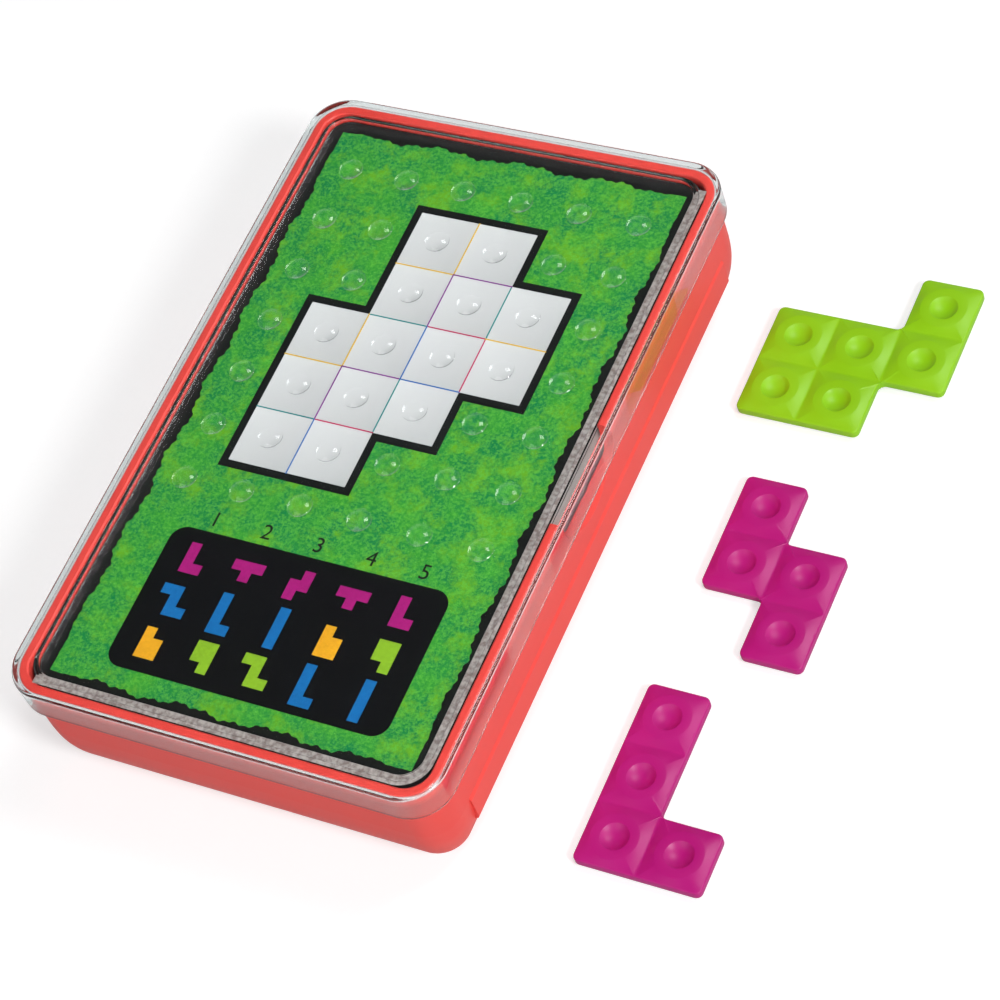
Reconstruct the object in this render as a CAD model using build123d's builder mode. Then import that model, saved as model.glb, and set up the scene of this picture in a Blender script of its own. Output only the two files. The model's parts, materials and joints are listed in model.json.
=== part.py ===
from build123d import *
from math import cos, radians, sin
import os

os.makedirs("parts", exist_ok=True)

# Driving dimensions of the whole box, in millimetres
pitch = 15.0
lid_width = 107.0
lid_length = 171.0
lid_corner = 9.5
box_height = 36.0
clearance = 0.3

# The clear lid
lid_wall = 1.2
lid_edge_round = 1.0
skirt_height = 8.3
rim_width = 5.9
recess_depth = 1.5
recess_corner = 5.0
stud_columns = 6
stud_rows = 7
stud_diameter = 6.0
stud_height = 1.3
stud_side = 0.4
stud_sink = 0.2
stud_field_y = 21.3

# The red bottom shell
shell_wall = 2.2
floor_thickness = 2.0
basin_inset = 7.2
basin_height = 17.0
basin_corner = 5.0
basin_steps = 6
rim_round = 0.5
rib_depth = 3.0
rib_thickness = 1.8
rib_side_spacing = 45.0
rib_side_rows = 4
rib_end_spacing = 40.0
rib_end_columns = 2

# The flat panel moulded on each long side
panel_length = 145.5
panel_bottom = 8.4
panel_proud = 0.4
panel_round = 1.8

# The thumb notch in the right wall
notch_width = 26.5
notch_shift_y = -0.5
notch_depth = 6.5
notch_corner = 3.5
notch_lip_round = 2.2
notch_side_margin = 4.4
scoop_radius = 29.2
scoop_reach = 26.2

# Cards and leaflet
card_thickness = 0.7
card_corner = 6.0
card_margin = 0.5
spare_cards = 12
leaflet_thickness = 0.8
leaflet_margin = 4.0
leaflet_corner = 2.0

# Puzzle pieces
piece_thickness = 3.6
piece_edge = 2.0
piece_corner = 1.5
piece_hollow_corner = 1.5
ring_diameter = 11.0
cell_corner = 0.2
dimple_diameter = 6.5
dimple_depth = 1.25
tray_columns = 5
tray_rows = 10

# Where the first square of each loose piece lies: aside from the lid's right edge, and along it
block_aside = 17.7
block_along = 51.1
step_aside = 27.6
step_along = 5.0
ell_aside = 26.4
ell_along = -66.1

# Sizes that follow from the ones above
hull_width = lid_width - 2 * (lid_wall + clearance)
hull_length = lid_length - 2 * (lid_wall + clearance)
hull_corner = lid_corner - lid_wall - clearance
inner_width = hull_width - 2 * shell_wall
inner_length = hull_length - 2 * shell_wall
inner_corner = hull_corner - shell_wall
shell_top = box_height - lid_wall - clearance
recess_width = lid_width - 2 * rim_width
recess_length = lid_length - 2 * rim_width
pan_top = box_height - recess_depth
pan_bottom = pan_top - lid_wall
card_top = pan_bottom - clearance
card_width = inner_width - 2 * card_margin
card_length = inner_length - 2 * card_margin
pack_top = card_top - card_thickness - clearance
leaflet_top = pack_top - spare_cards * card_thickness
ledge_height = leaflet_top - leaflet_thickness - clearance
piece_gap = clearance


def basin(width, length, corner, floor_corner, floor_height):
    """Sections of a bowl whose wall turns from its floor up to the vertical."""
    sections = []
    for step in range(basin_steps + 1):
        turn = radians(90 * (1 - step / basin_steps))
        share = 1 - cos(turn)
        inset = basin_inset * share
        height = floor_height + (basin_height - floor_height) * (1 - sin(turn))
        with BuildSketch(Plane.XY.offset(height)) as section:
            RectangleRounded(width - 2 * inset, length - 2 * inset, corner + (floor_corner - corner) * share)
        sections.append(section.sketch)
    return sections


# Room inside the bottom shell, with a slot left where each upright rib stands
with BuildPart() as room:
    loft(basin(inner_width, inner_length, inner_corner, basin_corner, floor_thickness))
    with BuildSketch(Plane.XY.offset(basin_height)):
        RectangleRounded(inner_width, inner_length, inner_corner)
    extrude(amount=box_height - basin_height)
    rib_bottom = (Align.CENTER, Align.CENTER, Align.MIN)
    with GridLocations(inner_width, rib_side_spacing, 2, rib_side_rows):
        Box(2 * rib_depth, rib_thickness, ledge_height, align=rib_bottom, mode=Mode.SUBTRACT)
    with GridLocations(rib_end_spacing, inner_length, rib_end_columns, 2):
        Box(rib_thickness, 2 * rib_depth, ledge_height, align=rib_bottom, mode=Mode.SUBTRACT)

# Red bottom shell with its two side panels and the thumb notch
with BuildPart() as box_shell:
    loft(basin(hull_width, hull_length, hull_corner, basin_corner, 0))
    with BuildSketch(Plane.XY.offset(basin_height)):
        RectangleRounded(hull_width, hull_length, hull_corner)
    extrude(amount=shell_top - basin_height)
    panel_face = hull_width / 2 + panel_proud
    with BuildSketch(Plane.XZ) as panel_section:
        with BuildLine():
            Polyline(
                (0, panel_bottom),
                (panel_face, panel_bottom),
                (panel_face, basin_height - panel_proud),
                (hull_width / 2, basin_height + panel_proud),
                (0, basin_height + panel_proud),
                close=True,
            )
        make_face()
        fillet(panel_section.vertices().group_by(Axis.Y)[0].sort_by(Axis.X)[-1], radius=panel_round)
        mirror(about=Plane.YZ)
    extrude(amount=panel_length / 2, both=True)
    add(room.part, mode=Mode.SUBTRACT)
    fillet(box_shell.faces().filter_by(Axis.Z).sort_by(Axis.Z)[-1].edges(), radius=rim_round)
    notch_plane = Plane((inner_width / 2 - rib_depth, notch_shift_y, shell_top), (0, 1, 0), (1, 0, 0))
    with BuildSketch(notch_plane) as notch:
        Rectangle(notch_width, 2 * notch_depth)
        with Locations((0, notch_depth / 2)):
            Rectangle(notch_width + 2 * notch_side_margin, notch_depth)
        fillet(notch.vertices().group_by(Axis.Y)[0], radius=notch_corner)
        fillet(notch.vertices().group_by(Axis.Y)[1].sort_by(Axis.X)[1:-1], radius=notch_lip_round)
    extrude(amount=2 * rib_depth + shell_wall, mode=Mode.SUBTRACT)
    with Locations((hull_width / 2 + scoop_reach, notch_shift_y, shell_top)):
        Sphere(scoop_radius, mode=Mode.SUBTRACT)

box_shell.part.label = "box_shell"
export_step(box_shell.part, "parts/box_shell.step")

# One round-topped stud, standing on the height zero
with BuildPart() as stud:
    dome_height = stud_height - stud_side
    dome_radius = (stud_diameter ** 2 / 4 + dome_height ** 2) / (2 * dome_height)
    with Locations((0, 0, -stud_sink)):
        Cylinder(stud_diameter / 2, stud_height + stud_sink, align=(Align.CENTER, Align.CENTER, Align.MIN))
    with Locations((0, 0, stud_height - dome_radius)):
        Sphere(dome_radius, mode=Mode.INTERSECT)

# Clear lid: skirt, rim, sunken pan and the studs that hold the pieces
with BuildPart() as clear_lid:
    with BuildSketch(Plane.XY.offset(box_height - skirt_height)):
        RectangleRounded(lid_width, lid_length, lid_corner)
    extrude(amount=skirt_height)
    fillet(clear_lid.faces().sort_by(Axis.Z)[-1].edges(), radius=lid_edge_round)
    with BuildSketch(Plane.XY.offset(box_height - skirt_height)):
        RectangleRounded(lid_width - 2 * lid_wall, lid_length - 2 * lid_wall, lid_corner - lid_wall)
    extrude(amount=skirt_height - lid_wall, mode=Mode.SUBTRACT)
    with BuildSketch(Plane.XY.offset(pan_bottom)):
        RectangleRounded(recess_width + 2 * lid_wall, recess_length + 2 * lid_wall, recess_corner + lid_wall)
    extrude(amount=box_height - pan_bottom)
    with BuildSketch(Plane.XY.offset(pan_top)):
        RectangleRounded(recess_width, recess_length, recess_corner)
    extrude(amount=recess_depth, mode=Mode.SUBTRACT)
    with Locations((0, stud_field_y, pan_top)):
        with GridLocations(pitch, pitch, stud_columns, stud_rows):
            add(stud.part)

clear_lid.part.label = "clear_lid"
export_step(clear_lid.part, "parts/clear_lid.step")


def flat_sheet(label, width, length, corner, thickness, bottom):
    """A card or a folded leaflet, lying flat."""
    with BuildPart() as sheet:
        with BuildSketch(Plane.XY.offset(bottom)):
            RectangleRounded(width, length, corner)
        extrude(amount=thickness)
    sheet.part.label = label
    export_step(sheet.part, f"parts/{label}.step")


# The card in play, the pack of spare cards below it and the folded rules
flat_sheet("puzzle_card", card_width, card_length, card_corner, card_thickness, card_top - card_thickness)
for number in range(1, spare_cards + 1):
    flat_sheet(
        f"spare_card_{number:02d}",
        card_width,
        card_length,
        card_corner,
        card_thickness,
        pack_top - number * card_thickness,
    )
flat_sheet(
    "rules_leaflet",
    card_width - 2 * leaflet_margin,
    card_length - 2 * leaflet_margin,
    leaflet_corner,
    leaflet_thickness,
    leaflet_top - leaflet_thickness,
)

# One square of a puzzle piece: slopes down from a flat ring to the square's border on both faces
with BuildPart() as cell:
    middle = piece_thickness / 2
    with BuildSketch(Plane.XY.offset(middle - piece_edge / 2)):
        Rectangle(pitch, pitch)
    extrude(amount=piece_edge)
    with BuildSketch(Plane.XY.offset(middle + piece_edge / 2)):
        RectangleRounded(pitch, pitch, cell_corner)
    with BuildSketch(Plane.XY.offset(piece_thickness)):
        RectangleRounded(ring_diameter, ring_diameter, ring_diameter / 2 - cell_corner / 2)
    loft(ruled=True)
    mirror(about=Plane.XY.offset(middle))
    dimple_ball = (dimple_diameter ** 2 / 4 + dimple_depth ** 2) / (2 * dimple_depth)
    dimple_centre = piece_thickness - dimple_depth + dimple_ball
    with Locations((0, 0, dimple_centre), (0, 0, piece_thickness - dimple_centre)):
        Sphere(dimple_ball, mode=Mode.SUBTRACT)


def is_hollow(edge, spots):
    """True for an upright edge in an inner corner, which three squares surround."""
    corner = edge.center()
    reach = pitch / 2 + piece_gap
    near = [spot for spot in spots if max(abs(spot[0] - corner.X), abs(spot[1] - corner.Y)) < reach]
    return len(near) == 3


def puzzle_piece(label, squares, corner_x, corner_y, bottom):
    """A piece from its squares, counted in steps of the pitch from the place of square 0, 0."""
    spots = [(corner_x + column * pitch, corner_y + row * pitch) for column, row in squares]
    with BuildPart() as outline:
        with BuildSketch():
            with Locations(*spots):
                Rectangle(pitch, pitch)
            offset(amount=-piece_gap / 2, kind=Kind.INTERSECTION, mode=Mode.REPLACE)
        extrude(amount=piece_thickness)
        outer = [edge for edge in outline.edges().filter_by(Axis.Z) if not is_hollow(edge, spots)]
        fillet(outer, radius=piece_corner)
        hollow = [edge for edge in outline.edges().filter_by(Axis.Z) if is_hollow(edge, spots)]
        if hollow:
            fillet(hollow, radius=piece_hollow_corner)
    with BuildPart() as piece:
        with Locations(*spots):
            add(cell.part)
        add(outline.part, mode=Mode.INTERSECT)
    piece.part.label = label
    export_step(piece.part.moved(Location((0, 0, bottom))), f"parts/{label}.step")


# The seven pieces stored on the floor of the box, on a field of five by ten squares
tray_x = -(tray_columns - 1) / 2 * pitch
tray_y = -(tray_rows - 1) / 2 * pitch
stored_bottom = floor_thickness + clearance
stored_pieces = {
    "piece_bar_blue": [(0, 0), (0, 1), (0, 2), (0, 3)],
    "piece_tee_magenta": [(1, 0), (2, 0), (3, 0), (2, 1)],
    "piece_twig_blue": [(4, 0), (4, 1), (4, 2), (4, 3), (3, 1)],
    "piece_flag_yellow": [(1, 3), (2, 3), (3, 3), (2, 2), (3, 2)],
    "piece_hook_blue": [(0, 4), (0, 5), (0, 6), (0, 7), (1, 7)],
    "piece_zed_blue": [(1, 4), (2, 4), (2, 5), (2, 6), (3, 6)],
    "piece_stair_lime": [(2, 7), (2, 8), (3, 8), (3, 9), (4, 9)],
}
for label, squares in stored_pieces.items():
    puzzle_piece(label, squares, tray_x, tray_y, stored_bottom)

# The three pieces that lie beside the box, as the box is shown in use
block_squares = [(0, 0), (1, 0), (0, 1), (1, 1), (2, 1), (2, 2)]
step_squares = [(0, 1), (0, 0), (1, 0), (1, -1)]
ell_squares = [(0, 2), (0, 1), (0, 0), (1, 0)]
puzzle_piece("piece_block_lime", block_squares, lid_width / 2 + block_aside, block_along, 0)
puzzle_piece("piece_step_magenta", step_squares, lid_width / 2 + step_aside, step_along, 0)
puzzle_piece("piece_ell_magenta", ell_squares, lid_width / 2 + ell_aside, ell_along, 0)
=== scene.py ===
# %% [markdown]
# A travel puzzle game box, dressed for a picture.
# The construction model gives every piece its place and size. This lesson loads it as a fixed
# frame, keeps the plain pieces as they are, and makes finer meshes for the clear lid, the
# puzzle pieces and the print on the card. All lengths are in metres.

import json
import math
import bmesh
import bpy
from mathutils import Matrix, Vector

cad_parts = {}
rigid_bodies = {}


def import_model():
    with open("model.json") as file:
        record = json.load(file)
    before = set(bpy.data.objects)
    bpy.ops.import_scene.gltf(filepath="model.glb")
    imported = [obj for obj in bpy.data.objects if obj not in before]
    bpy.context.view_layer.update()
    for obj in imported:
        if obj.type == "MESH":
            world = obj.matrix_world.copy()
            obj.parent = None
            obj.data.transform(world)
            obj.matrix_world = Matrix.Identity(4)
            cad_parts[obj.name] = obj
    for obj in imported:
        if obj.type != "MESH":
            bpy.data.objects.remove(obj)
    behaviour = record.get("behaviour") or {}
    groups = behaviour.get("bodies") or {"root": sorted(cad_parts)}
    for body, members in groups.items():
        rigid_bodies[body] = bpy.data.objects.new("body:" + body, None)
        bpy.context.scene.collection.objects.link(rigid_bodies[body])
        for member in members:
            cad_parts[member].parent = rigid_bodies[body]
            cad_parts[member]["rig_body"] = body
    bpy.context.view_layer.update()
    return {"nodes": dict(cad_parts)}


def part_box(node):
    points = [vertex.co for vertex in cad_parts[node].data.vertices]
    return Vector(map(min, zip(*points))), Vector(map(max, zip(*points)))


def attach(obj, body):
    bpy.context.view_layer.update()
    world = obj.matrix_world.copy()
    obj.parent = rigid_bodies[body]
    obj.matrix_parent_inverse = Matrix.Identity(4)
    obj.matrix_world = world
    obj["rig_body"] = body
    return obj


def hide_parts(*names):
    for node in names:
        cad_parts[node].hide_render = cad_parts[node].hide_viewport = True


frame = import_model()
MM = 0.001
lid_low, lid_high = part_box("clear_lid")
card_low, card_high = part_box("puzzle_card")
print("Nodes in the frame:", len(frame["nodes"]))

# %% [markdown]
# The camera comes first, because every later choice is judged through it.
# A long lens from high above the near right corner gives the flat perspective of a catalogue
# picture. The camera is aimed at a point on the table and then rolled about its own axis.

# %% Camera
camera_place = Vector((0.3201, -0.3109, 0.5884))
camera_target = Vector((0.0158, 0.0043, 0.0))
camera_roll = math.radians(-24.22)
lens_length = 115.1
sensor_width = 36.0
frame_shift = (0.0178, 0.0100)

camera_data = bpy.data.cameras.new("table_camera")
camera_data.lens = lens_length
camera_data.sensor_width = sensor_width
camera_data.shift_x = frame_shift[0]
camera_data.shift_y = frame_shift[1]
camera = bpy.data.objects.new("table_camera", camera_data)
bpy.context.scene.collection.objects.link(camera)
aim = (camera_target - camera_place).to_track_quat("-Z", "Y").to_matrix().to_4x4()
camera.matrix_world = Matrix.Translation(camera_place) @ aim @ Matrix.Rotation(camera_roll, 4, "Z")
bpy.context.scene.camera = camera
bpy.context.scene.view_settings.view_transform = "Standard"
print("Camera distance in mm:", round((camera_target - camera_place).length / MM))

# %% [markdown]
# Helpers for shaders. A colour is written as the screen shows it, from 0 to 255, and turned
# into the linear values that a shader takes. The node helper keeps each material readable as
# a short list of steps.

# %% Shader helpers
def screen_colour(red, green, blue):
    """A colour from 0 to 255 as linear values with full alpha."""
    values = []
    for part in (red, green, blue):
        share = part / 255
        values.append(share / 12.92 if share <= 0.04045 else ((share + 0.055) / 1.055) ** 2.4)
    return (*values, 1.0)


def add_node(tree, kind, **settings):
    """A new node, with its own settings and the values of its named inputs."""
    node = tree.nodes.new(kind)
    inputs = settings.pop("inputs", {})
    for name, value in settings.items():
        setattr(node, name, value)
    for name, value in inputs.items():
        node.inputs[name].default_value = value
    return node


def start_material(name, **values):
    """A material with its main shader, whose plain values are set on its own sockets."""
    material = bpy.data.materials.new(name)
    material.use_nodes = True
    tree = material.node_tree
    shader = tree.nodes["Principled BSDF"]
    for socket, value in values.items():
        shader.inputs[socket.replace("_", " ")].default_value = value
    return material, tree, shader


def mixed(tree, share, first, second):
    """The colour socket of a mix of two colours or colour sockets by a share socket."""
    mix = add_node(tree, "ShaderNodeMix", data_type="RGBA")
    tree.links.new(share, mix.inputs["Factor"])
    for socket, colour in zip(mix.inputs[6:8], (first, second)):
        if isinstance(colour, tuple):
            socket.default_value = colour
        else:
            tree.links.new(colour, socket)
    return mix.outputs[2]


def stretched(tree, value, low, high, to_low=0.0, to_high=1.0):
    """The socket of a value moved from one range to another, held inside it."""
    limits = {"From Min": low, "From Max": high, "To Min": to_low, "To Max": to_high}
    node = add_node(tree, "ShaderNodeMapRange", inputs=limits)
    tree.links.new(value, node.inputs["Value"])
    return node.outputs["Result"]


def calculated(tree, operation, first, second=0.0, third=0.0):
    """The socket of a calculation with sockets or plain numbers."""
    node = add_node(tree, "ShaderNodeMath", operation=operation)
    for socket, value in zip(node.inputs, (first, second, third)):
        if isinstance(value, (int, float)):
            socket.default_value = value
        else:
            tree.links.new(value, socket)
    return node.outputs[0]


def coordinates(tree, kind="Object"):
    """The socket of one of Blender's texture coordinates, as a rule a point's own place."""
    return add_node(tree, "ShaderNodeTexCoord").outputs[kind]


def separated(tree, vector):
    """The sockets of a vector's X, Y and Z."""
    split = add_node(tree, "ShaderNodeSeparateXYZ")
    tree.links.new(vector, split.inputs[0])
    return split.outputs


def uprightness(tree):
    """A socket that is 0 on a flat face and 1 on an upright one."""
    rise = separated(tree, coordinates(tree, "Normal"))["Z"]
    return stretched(tree, calculated(tree, "ABSOLUTE", rise), 0.5, 0.7, 1.0, 0.0)


print("Shader helpers are ready")

# %% [markdown]
# Two effects are shared, so each is a node group that is built once.
# Moulded grain is the fine unevenness of plastic that was pressed in a steel mould: it moves
# the gloss a little and gives a bump too small to see as a shape. Print mottle is the cloudy,
# speckled tone of ink on card.

# %% Shared shader groups
def new_group(name, inputs, outputs):
    """An empty node group with number inputs and outputs."""
    group = bpy.data.node_groups.new(name, "ShaderNodeTree")
    for label, value in inputs.items():
        socket = group.interface.new_socket(label, in_out="INPUT", socket_type="NodeSocketFloat")
        socket.default_value = value
    for label in outputs:
        group.interface.new_socket(label, in_out="OUTPUT", socket_type="NodeSocketFloat")
    entry = group.nodes.new("NodeGroupInput")
    result = group.nodes.new("NodeGroupOutput")
    return group, entry, result


def noise(tree, place, detail, scale_socket=None, scale=1.0, roughness=0.5):
    """The socket of a noise at the given place, whose scale is a number or a socket."""
    values = {"Detail": detail, "Scale": scale, "Roughness": roughness}
    node = add_node(tree, "ShaderNodeTexNoise", inputs=values)
    tree.links.new(place, node.inputs["Vector"])
    if scale_socket:
        tree.links.new(scale_socket, node.inputs["Scale"])
    return node.outputs["Fac"]


def build_moulded_grain():
    """Grain of a moulded surface: a fine height and a slow drift of the gloss."""
    group, entry, result = new_group(
        "moulded_grain",
        {"Grain Scale": 1800.0, "Drift Scale": 35.0},
        ("Height", "Gloss Drift"),
    )
    place = coordinates(group)
    fine = noise(group, place, 2.0, entry.outputs["Grain Scale"])
    slow = noise(group, place, 3.0, entry.outputs["Drift Scale"])
    group.links.new(fine, result.inputs["Height"])
    group.links.new(stretched(group, slow, 0.3, 0.7), result.inputs["Gloss Drift"])
    return group


cloud_detail = 9.0
cloud_roughness = 0.74


def build_print_mottle():
    """Cloudy tone of printed ink: wide patches, a fine speckle and a few bright blooms."""
    group, entry, result = new_group(
        "print_mottle",
        {"Patch Scale": 130.0, "Speckle Scale": 1500.0},
        ("Patches", "Speckle", "Blooms"),
    )
    place = coordinates(group)
    moved = add_node(group, "ShaderNodeMapping", inputs={"Location": (3.7, 1.9, 0.0)})
    group.links.new(place, moved.inputs["Vector"])
    patches, blooms = (
        noise(group, spot, cloud_detail, entry.outputs["Patch Scale"], roughness=cloud_roughness)
        for spot in (place, moved.outputs["Vector"])
    )
    speckle = noise(group, place, 3.0, entry.outputs["Speckle Scale"], roughness=0.7)
    group.links.new(stretched(group, patches, 0.38, 0.62), result.inputs["Patches"])
    group.links.new(stretched(group, speckle, 0.36, 0.64), result.inputs["Speckle"])
    group.links.new(stretched(group, blooms, 0.5, 0.62), result.inputs["Blooms"])
    return group


moulded_grain = build_moulded_grain()
print_mottle = build_print_mottle()
print("Shared groups:", moulded_grain.name, print_mottle.name)

# %% [markdown]
# Moulded plastic finishes. The red shell and the puzzle pieces are opaque, satin plastic. The
# colour is almost even in the real thing, so only a slow drift of its tone keeps it from
# looking flat, and the grain group gives the light something to catch.

# %% Opaque plastic materials
plastic_bend = 1.49


def add_bump(tree, shader, height, strength, distance):
    """Gives a shader a bump that follows a height socket."""
    bump = add_node(tree, "ShaderNodeBump", inputs={"Strength": strength, "Distance": distance})
    tree.links.new(height, bump.inputs["Height"])
    tree.links.new(bump.outputs["Normal"], shader.inputs["Normal"])


def add_grain(tree, shader, rough_low, rough_high, strength, grain_scale, drift_scale):
    """Gives a shader the grain group's bump and gloss, and returns the drift socket."""
    scales = {"Grain Scale": grain_scale, "Drift Scale": drift_scale}
    grain = add_node(tree, "ShaderNodeGroup", node_tree=moulded_grain)
    for label, value in scales.items():
        grain.inputs[label].default_value = value
    add_bump(tree, shader, grain.outputs["Height"], strength, 0.02 * MM)
    drift = grain.outputs["Gloss Drift"]
    gloss = stretched(tree, drift, 0.0, 1.0, rough_low, rough_high)
    tree.links.new(gloss, shader.inputs["Roughness"])
    return drift


def opaque_plastic(name, light_tone, dark_tone, rough_low, rough_high):
    """Satin moulded plastic between two close tones."""
    material, tree, shader = start_material(name, IOR=plastic_bend)
    drift = add_grain(tree, shader, rough_low, rough_high, 0.25, 1600.0, 45.0)
    tree.links.new(mixed(tree, drift, dark_tone, light_tone), shader.inputs["Base Color"])
    return material


shell_gloss = (0.34, 0.44)
piece_gloss = (0.4, 0.5)
piece_tones = {
    "magenta": ((188, 10, 124), (180, 8, 117)),
    "lime": ((148, 208, 8), (141, 201, 6)),
    "blue": ((24, 118, 188), (18, 108, 176)),
    "yellow": ((250, 184, 42), (244, 174, 34)),
}
red_plastic = opaque_plastic(
    "red_plastic", screen_colour(241, 76, 68), screen_colour(235, 70, 62), *shell_gloss
)
piece_plastics = {
    colour: opaque_plastic(
        f"{colour}_plastic", screen_colour(*light), screen_colour(*dark), *piece_gloss
    )
    for colour, (light, dark) in piece_tones.items()
}
print("Plastic colours of the pieces:", ", ".join(piece_plastics))

# %% [markdown]
# Clear plastic of the lid. Real glass would block the lamps and leave the card in the dark,
# because light bent by glass is hard to trace back to a lamp. The usual answer is a second,
# plainly see-through shader that only shadow rays meet.
# The plastic is not alike everywhere. Below the inner edge of the rim, on the right and near
# sides, it shows as a mottled, milky band. The skirt is tinted darker and greyer than the flat
# top: this is painted shade, which darkens the red hull seen through the skirt as if it lay in
# the lid's shadow. The narrow roundings at the top are duller, so that they read as one calm
# bright line. Masks made of a point's place on the lid pick these parts out.

# %% Clear plastic material
milky_from = 3.7 * MM
milky_to_low = 6.45 * MM
milky_to_high = 5.75 * MM
milky_top = 1.05 * MM
milky_low = 33.75 * MM
milky_step = 0.1 * MM
milky_end = 7.2 * MM
band_corner = 10.9 * MM
edge_depth = 0.8 * MM
flat_depth = 0.02 * MM
edge_roughness = 0.16
pan_depth = 2.75 * MM


def inset_from_edge(tree, place):
    """How far a point lies inside the lid's right and near sides, measured round their corner."""
    from_right = calculated(tree, "ADD", place["X"], band_corner - lid_high.x)
    from_near = calculated(tree, "SUBTRACT", lid_low.y + band_corner, place["Y"])
    outer = [calculated(tree, "MAXIMUM", side, 0.0) for side in (from_right, from_near)]
    squares = [calculated(tree, "POWER", side, 2.0) for side in outer]
    reach = calculated(tree, "SQRT", calculated(tree, "ADD", *squares))
    inner = calculated(tree, "MINIMUM", calculated(tree, "MAXIMUM", from_right, from_near), 0.0)
    return calculated(tree, "SUBTRACT", band_corner, calculated(tree, "ADD", reach, inner))


def milky_band(tree):
    """A socket that is 1 below the inner edge of the rim, on its right and near sides."""
    place = separated(tree, coordinates(tree))
    inset_here = inset_from_edge(tree, place)
    low_end = (milky_low, milky_low + milky_step)
    limit = stretched(tree, place["Z"], *low_end, milky_to_low, milky_to_high)
    share = calculated(tree, "LESS_THAN", inset_here, limit)
    for test, value, bound in (
        ("GREATER_THAN", inset_here, milky_from),
        ("LESS_THAN", place["Z"], lid_high.z - milky_top),
        ("LESS_THAN", place["Y"], lid_high.y - milky_end),
        ("GREATER_THAN", place["X"], lid_low.x + milky_end),
    ):
        share = calculated(tree, "MULTIPLY", share, calculated(tree, test, value, bound))
    return share


def mixed_shader(tree, share, first, second):
    """A mix of two shaders by a share socket."""
    mix = add_node(tree, "ShaderNodeMixShader")
    for socket, source in zip(mix.inputs, (share, first.outputs[0], second.outputs[0])):
        tree.links.new(source, socket)
    return mix


def milky_shader(tree):
    """The dull, mottled shader of the milky band."""
    values = {"Roughness": 0.45, "IOR": plastic_bend, "Transmission Weight": 0.25}
    milky = add_node(tree, "ShaderNodeBsdfPrincipled", inputs=values)
    cloud = stretched(tree, noise(tree, coordinates(tree), 4.0, scale=900.0), 0.38, 0.62)
    tone = mixed(tree, cloud, screen_colour(146, 130, 126), screen_colour(206, 198, 194))
    tree.links.new(tone, milky.inputs["Base Color"])
    return milky


def clear_roughness(tree, height):
    """The socket of a slow drift of the gloss, with duller roundings near the top."""
    drift = stretched(tree, noise(tree, coordinates(tree), 3.0, scale=60.0), 0.3, 0.7, 0.0, 0.02)
    below_top = calculated(tree, "LESS_THAN", height, lid_high.z - flat_depth)
    near_top = calculated(tree, "GREATER_THAN", height, lid_high.z - edge_depth)
    on_edge = calculated(tree, "MULTIPLY", below_top, near_top)
    return calculated(tree, "MULTIPLY_ADD", on_edge, edge_roughness, drift)


def clear_material():
    """Clear moulded plastic that lets the lamps through to what lies below."""
    values = {"IOR": plastic_bend, "Transmission_Weight": 1.0}
    material, tree, shader = start_material("clear_plastic", **values)
    height = separated(tree, coordinates(tree))["Z"]
    # Painted shade: below the pan the base colour turns darker and greyer, to shade the hull seen
    # through the skirt.
    painted_skirt_shade = calculated(tree, "LESS_THAN", height, lid_high.z - pan_depth)
    tint_and_skirt_shade = mixed(tree, painted_skirt_shade, screen_colour(238, 240, 240), screen_colour(213, 226, 226))
    tree.links.new(tint_and_skirt_shade, shader.inputs["Base Color"])
    tree.links.new(clear_roughness(tree, height), shader.inputs["Roughness"])
    moulded = mixed_shader(tree, milky_band(tree), shader, milky_shader(tree))
    shade = {"Color": screen_colour(233, 235, 235)}
    through = add_node(tree, "ShaderNodeBsdfTransparent", inputs=shade)
    rays = add_node(tree, "ShaderNodeLightPath")
    seen = mixed_shader(tree, rays.outputs["Is Shadow Ray"], moulded, through)
    tree.links.new(seen.outputs[0], tree.nodes["Material Output"].inputs["Surface"])
    return material


clear_plastic = clear_material()
print("Clear plastic is ready")

# %% [markdown]
# Card and paper. The card is solid board: its face is printed and its cut edge shows pale
# grey layers. Which of the two a point is on follows from the direction that its surface
# faces, so one material can serve the whole card.

# %% Card materials
card_reach = (card_high - card_low) / 2
field_margin = 5.4 * MM
board_edge_pale = screen_colour(184, 176, 172)
board_edge_dark = screen_colour(140, 133, 130)
ink_black = screen_colour(20, 20, 20)
ink_black_soft = screen_colour(28, 28, 27)
print_sheen = 0.2
greens = {
    "deep": screen_colour(8, 124, 70),
    "plain": screen_colour(54, 152, 50),
    "fresh": screen_colour(104, 170, 34),
    "speck": screen_colour(100, 190, 66),
}


def green_ink(tree):
    """The colour socket of the mottled green ink, and its speckle."""
    mottle = add_node(tree, "ShaderNodeGroup", node_tree=print_mottle)
    wide = mixed(tree, mottle.outputs["Patches"], greens["deep"], greens["plain"])
    bloomed = mixed(tree, mottle.outputs["Blooms"], wide, greens["fresh"])
    share = stretched(tree, mottle.outputs["Speckle"], 0.3, 1.0, 0.0, 0.75)
    return mixed(tree, share, bloomed, greens["speck"]), mottle.outputs["Speckle"]


def layered_edge(tree, pale, dark):
    """The colour socket of a cut edge, with the thin layers of the board."""
    squeeze = add_node(tree, "ShaderNodeMapping", inputs={"Scale": (90.0, 90.0, 5200.0)})
    tree.links.new(coordinates(tree), squeeze.inputs["Vector"])
    return mixed(tree, noise(tree, squeeze.outputs["Vector"], 2.0), dark, pale)


def inside_field(tree):
    """A socket that is 1 inside a wavy edged field on the card and 0 on its dark margin."""
    parts = separated(tree, coordinates(tree))
    shares = []
    for axis, reach in (("X", card_reach.x), ("Y", card_reach.y)):
        size = calculated(tree, "ABSOLUTE", parts[axis])
        shares.append(stretched(tree, size, reach - field_margin, reach))
    larger = calculated(tree, "MAXIMUM", *shares)
    wave = stretched(tree, noise(tree, coordinates(tree), 1.0, scale=190.0), 0.3, 0.7, 0.1, 0.6)
    return calculated(tree, "LESS_THAN", larger, wave)


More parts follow.
